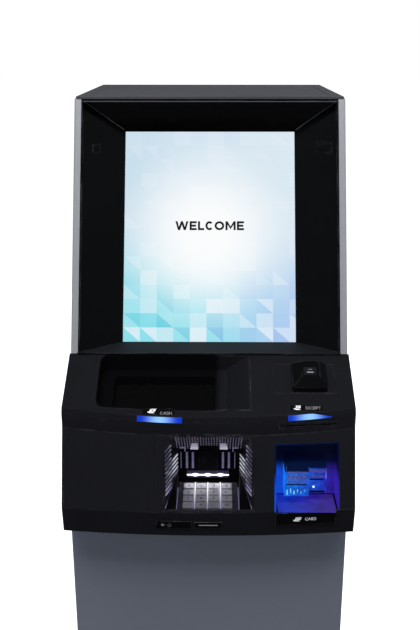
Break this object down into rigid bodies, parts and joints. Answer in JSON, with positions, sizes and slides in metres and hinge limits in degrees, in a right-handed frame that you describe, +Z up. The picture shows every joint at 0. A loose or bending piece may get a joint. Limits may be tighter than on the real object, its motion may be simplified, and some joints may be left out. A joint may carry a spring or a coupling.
{
  "type": "cash machine",
  "caption": "Slim free-standing lobby cash machine: leaning screen in a deep surround, sloping console with cash tray, keypad and card bays, locked cabinet and safe.",
  "frame": {"origin": "floor level, centre of the overall footprint", "axes": "+Z up, +Y towards the rear, +X to the user's right"},
  "size_m": [0.47, 0.691, 1.45],
  "materials": {
    "silver_paint": "satin",
    "dark_paint": "satin",
    "gloss_black": "gloss",
    "touch_glass": "gloss",
    "display_metal": "matt",
    "console_black": "matt",
    "panel_grey": "matt",
    "shutter_black": "satin",
    "light_guide": "gloss",
    "bay_liner": "gloss",
    "blue_bezel": "gloss",
    "key_steel": "brushed",
    "safe_paint": "textured",
    "plain_steel": "brushed",
    "cassette_plastic": "matt",
    "module_aluminium": "satin",
    "receipt_paper": "matt",
    "moulded_black": "matt"
  },
  "bodies": {
    "cabinet": {"side_panel_left": "silver_paint", "side_panel_right": "silver_paint", "rear_panel": "silver_paint", "door_hinges": "silver_paint", "top_cover": "dark_paint", "base_plinth": "dark_paint", "equipment_shelf": "dark_paint", "note_transport": "dark_paint", "display_surround": "gloss_black", "reader_block": "gloss_black", "card_shelf": "gloss_black", "headset_plate": "gloss_black", "name_plate": "gloss_black", "camera_window": "gloss_black", "display_glass": "touch_glass", "display_panel": "display_metal", "console_cover": "console_black", "cash_tray": "console_black", "reader_frame": "console_black", "receipt_bezel": "console_black", "console_panel": "panel_grey", "blank_panel": "panel_grey", "guide_lights": "light_guide", "keypad_lamp": "light_guide", "keypad_bay": "bay_liner", "card_bay": "bay_liner", "card_bezel": "blue_bezel", "keypad_body": "key_steel", "safe_body": "safe_paint", "note_cassettes": "cassette_plastic", "cash_dispenser": "module_aluminium", "computer_unit": "module_aluminium", "receipt_printer": "module_aluminium", "card_reader": "module_aluminium", "power_inlet": "moulded_black", "speaker": "moulded_black"},
    "front_door": {"front_door": "silver_paint"},
    "door_lock": {"door_lock": "plain_steel"},
    "safe_door": {"safe_door": "safe_paint"},
    "safe_handle": {"safe_handle": "plain_steel"},
    "safe_bolts": {"safe_bolts": "plain_steel"},
    "cash_shutter": {"cash_shutter": "shutter_black"},
    "levelling_feet": {"levelling_feet": "plain_steel"},
    "paper_roll": {"paper_roll": "receipt_paper"},
    "key_blank_left": {"key_blank_left": "key_steel"},
    "key_0": {"key_0": "key_steel"},
    "key_blank_right": {"key_blank_right": "key_steel"},
    "key_enter": {"key_enter": "key_steel"},
    "key_7": {"key_7": "key_steel"},
    "key_8": {"key_8": "key_steel"},
    "key_9": {"key_9": "key_steel"},
    "key_help": {"key_help": "key_steel"},
    "key_4": {"key_4": "key_steel"},
    "key_5": {"key_5": "key_steel"},
    "key_6": {"key_6": "key_steel"},
    "key_clear": {"key_clear": "key_steel"},
    "key_1": {"key_1": "key_steel"},
    "key_2": {"key_2": "key_steel"},
    "key_3": {"key_3": "key_steel"},
    "key_cancel": {"key_cancel": "key_steel"}
  },
  "joints": [
    {"name": "front_door_swing", "type": "hinge", "parent": "cabinet", "child": "front_door", "pos_m": [0.229, -0.238, 0.42], "axis": [0, 0, 1], "range_deg": [0, 95]},
    {"name": "door_lock_turn", "type": "hinge", "parent": "front_door", "child": "door_lock", "pos_m": [-0.2, -0.2695, 0.43], "axis": [0, 1, 0], "range_deg": [0, 90]},
    {"name": "safe_door_swing", "type": "hinge", "parent": "cabinet", "child": "safe_door", "pos_m": [0.199, -0.2185, 0.34], "axis": [0, 0, 1], "range_deg": [0, 92]},
    {"name": "safe_handle_turn", "type": "hinge", "parent": "safe_door", "child": "safe_handle", "pos_m": [-0.11, -0.223, 0.36], "axis": [0, -1, 0], "range_deg": [0, 90]},
    {"name": "safe_bolts_slide", "type": "slide", "parent": "safe_door", "child": "safe_bolts", "axis": [-1, 0, 0], "range_m": [0, 0.012]},
    {"name": "cash_shutter_slide", "type": "slide", "parent": "cabinet", "child": "cash_shutter", "axis": [0, 0.8721, 0.4894], "range_m": [0, 0.05]},
    {"name": "levelling_feet_screw", "type": "slide", "parent": "cabinet", "child": "levelling_feet", "axis": [0, 0, 1], "range_m": [-0.02, 0]},
    {"name": "paper_roll_turn", "type": "hinge", "parent": "cabinet", "child": "paper_roll", "pos_m": [0.1605, -0.064, 0.945], "axis": [1, 0, 0], "continuous": true},
    {"name": "key_blank_left_press", "type": "slide", "parent": "cabinet", "child": "key_blank_left", "axis": [0, 0.0785, -0.9969], "range_m": [0, 0.002], "stiffness_N_per_m": 500, "springref_m": -0.002},
    {"name": "key_0_press", "type": "slide", "parent": "cabinet", "child": "key_0", "axis": [0, 0.0785, -0.9969], "range_m": [0, 0.002], "stiffness_N_per_m": 500, "springref_m": -0.002},
    {"name": "key_blank_right_press", "type": "slide", "parent": "cabinet", "child": "key_blank_right", "axis": [0, 0.0785, -0.9969], "range_m": [0, 0.002], "stiffness_N_per_m": 500, "springref_m": -0.002},
    {"name": "key_enter_press", "type": "slide", "parent": "cabinet", "child": "key_enter", "axis": [0, 0.0785, -0.9969], "range_m": [0, 0.002], "stiffness_N_per_m": 500, "springref_m": -0.002},
    {"name": "key_7_press", "type": "slide", "parent": "cabinet", "child": "key_7", "axis": [0, 0.0785, -0.9969], "range_m": [0, 0.002], "stiffness_N_per_m": 500, "springref_m": -0.002},
    {"name": "key_8_press", "type": "slide", "parent": "cabinet", "child": "key_8", "axis": [0, 0.0785, -0.9969], "range_m": [0, 0.002], "stiffness_N_per_m": 500, "springref_m": -0.002},
    {"name": "key_9_press", "type": "slide", "parent": "cabinet", "child": "key_9", "axis": [0, 0.0785, -0.9969], "range_m": [0, 0.002], "stiffness_N_per_m": 500, "springref_m": -0.002},
    {"name": "key_help_press", "type": "slide", "parent": "cabinet", "child": "key_help", "axis": [0, 0.0785, -0.9969], "range_m": [0, 0.002], "stiffness_N_per_m": 500, "springref_m": -0.002},
    {"name": "key_4_press", "type": "slide", "parent": "cabinet", "child": "key_4", "axis": [0, 0.0785, -0.9969], "range_m": [0, 0.002], "stiffness_N_per_m": 500, "springref_m": -0.002},
    {"name": "key_5_press", "type": "slide", "parent": "cabinet", "child": "key_5", "axis": [0, 0.0785, -0.9969], "range_m": [0, 0.002], "stiffness_N_per_m": 500, "springref_m": -0.002},
    {"name": "key_6_press", "type": "slide", "parent": "cabinet", "child": "key_6", "axis": [0, 0.0785, -0.9969], "range_m": [0, 0.002], "stiffness_N_per_m": 500, "springref_m": -0.002},
    {"name": "key_clear_press", "type": "slide", "parent": "cabinet", "child": "key_clear", "axis": [0, 0.0785, -0.9969], "range_m": [0, 0.002], "stiffness_N_per_m": 500, "springref_m": -0.002},
    {"name": "key_1_press", "type": "slide", "parent": "cabinet", "child": "key_1", "axis": [0, 0.0785, -0.9969], "range_m": [0, 0.002], "stiffness_N_per_m": 500, "springref_m": -0.002},
    {"name": "key_2_press", "type": "slide", "parent": "cabinet", "child": "key_2", "axis": [0, 0.0785, -0.9969], "range_m": [0, 0.002], "stiffness_N_per_m": 500, "springref_m": -0.002},
    {"name": "key_3_press", "type": "slide", "parent": "cabinet", "child": "key_3", "axis": [0, 0.0785, -0.9969], "range_m": [0, 0.002], "stiffness_N_per_m": 500, "springref_m": -0.002},
    {"name": "key_cancel_press", "type": "slide", "parent": "cabinet", "child": "key_cancel", "axis": [0, 0.0785, -0.9969], "range_m": [0, 0.002], "stiffness_N_per_m": 500, "springref_m": -0.002}
  ],
  "couplings": [
    {"joint": "safe_door_swing", "follows": "front_door_swing", "ratio": 0.95},
    {"joint": "safe_bolts_slide", "follows": "safe_handle_turn", "m_per_rad": 0.007576}
  ]
}
